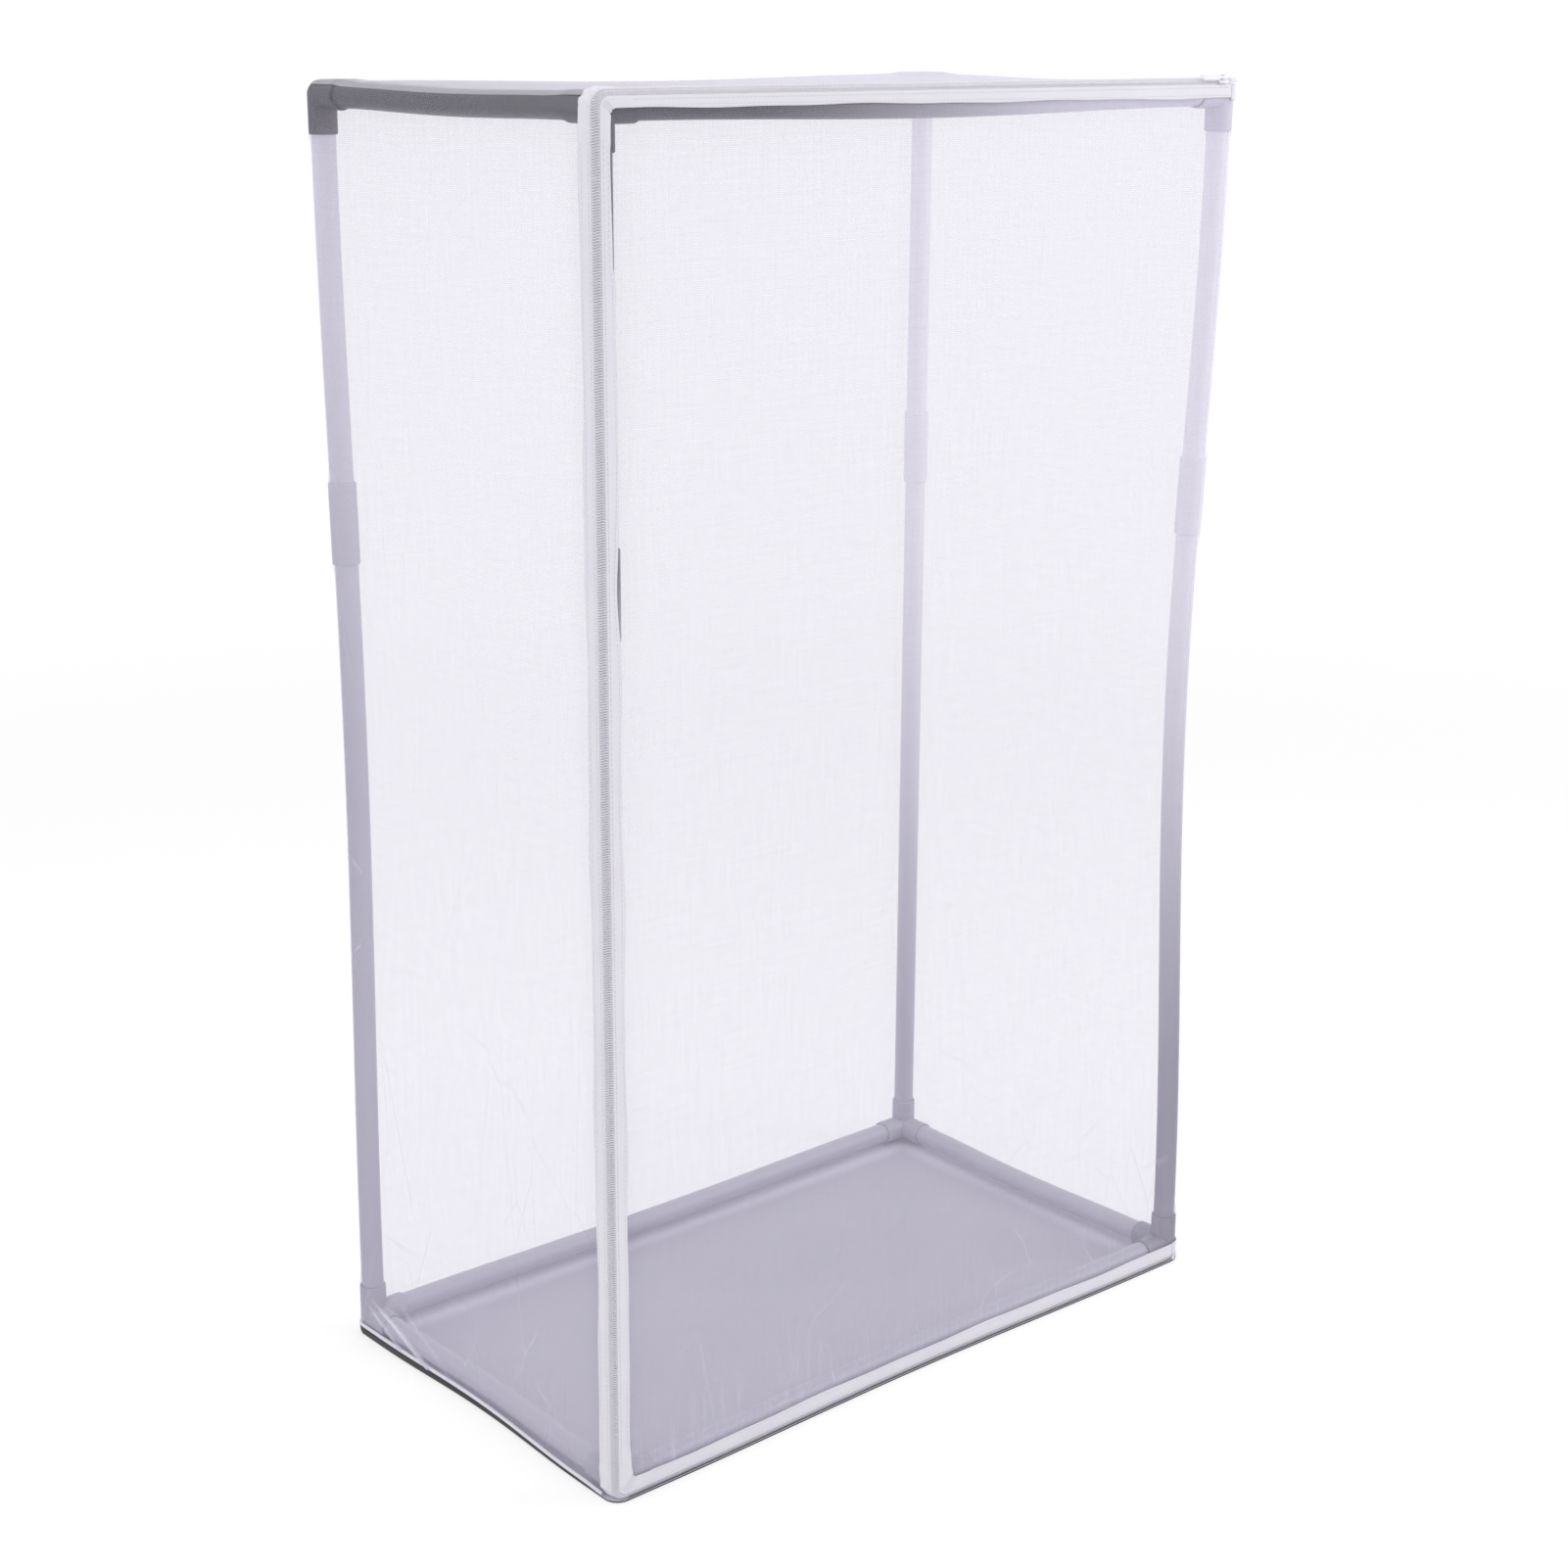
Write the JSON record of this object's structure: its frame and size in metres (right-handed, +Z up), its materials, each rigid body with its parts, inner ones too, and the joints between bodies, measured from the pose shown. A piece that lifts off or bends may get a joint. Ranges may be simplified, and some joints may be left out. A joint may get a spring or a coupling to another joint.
{
  "type": "insect cage",
  "caption": "Free-standing insect cage: a white fine-mesh cover with a zipped front door over a plastic tube frame, on a black floor cloth.",
  "frame": {"origin": "centre of the floor cloth, on the plane that the cage stands on", "axes": "+Z up, +X to the right along the front, +Y to the back, so the zipped front faces -Y"},
  "size_m": [0.56, 0.3232, 0.9032],
  "materials": {
    "tube_plastic": "extruded, satin",
    "fitting_plastic": "moulded, satin",
    "fine_mesh": "fine woven mesh",
    "zip_tape": "woven tape",
    "zip_nylon": "nylon",
    "base_cloth": "coated cloth"
  },
  "bodies": {
    "frame": {"base_rail_front": "tube_plastic", "base_rail_back": "tube_plastic", "base_rail_left": "tube_plastic", "base_rail_right": "tube_plastic", "top_rail_front": "tube_plastic", "top_rail_back": "tube_plastic", "top_rail_left": "tube_plastic", "top_rail_right": "tube_plastic", "upright_front_left_lower": "tube_plastic", "upright_front_left_upper": "tube_plastic", "upright_front_right_lower": "tube_plastic", "upright_front_right_upper": "tube_plastic", "upright_back_left_lower": "tube_plastic", "upright_back_left_upper": "tube_plastic", "upright_back_right_lower": "tube_plastic", "upright_back_right_upper": "tube_plastic", "coupling_front_left": "fitting_plastic", "coupling_front_right": "fitting_plastic", "coupling_back_left": "fitting_plastic", "coupling_back_right": "fitting_plastic", "corner_base_front_left": "fitting_plastic", "corner_base_front_right": "fitting_plastic", "corner_base_back_left": "fitting_plastic", "corner_base_back_right": "fitting_plastic", "corner_top_front_left": "fitting_plastic", "corner_top_front_right": "fitting_plastic", "corner_top_back_left": "fitting_plastic", "corner_top_back_right": "fitting_plastic", "base_cloth": "base_cloth", "base_piping": "zip_tape", "mesh_left": "fine_mesh", "mesh_right": "fine_mesh", "mesh_back": "fine_mesh", "mesh_top": "fine_mesh", "zip_tape_frame": "zip_tape", "zip_coil_frame": "zip_nylon", "zip_tape_end_top": "zip_tape", "zip_tape_end_base": "zip_tape", "zip_stop_frame": "zip_nylon", "zip_stop_base": "zip_nylon"},
    "door": {"door_mesh": "fine_mesh", "zip_tape_door": "zip_tape", "zip_coil_door": "zip_nylon", "zip_stop_door": "zip_nylon"},
    "slider": {"zip_slider": "zip_nylon"},
    "pull": {"zip_pull": "zip_nylon"}
  },
  "joints": [
    {"name": "door_hinge", "type": "hinge", "parent": "frame", "child": "door", "pos_m": [0.2692, -0.16, 0.45], "axis": [0, 0, 1], "range_deg": [0, 110]},
    {"name": "slider_travel", "type": "slide", "parent": "door", "child": "slider", "axis": [-1, 0, 0], "range_m": [0, 0.51]},
    {"name": "pull_swing", "type": "hinge", "parent": "slider", "child": "pull", "pos_m": [0.2591, -0.1607, 0.9007], "axis": [0, 0.7071, 0.7071], "range_deg": [0, 90]}
  ]
}
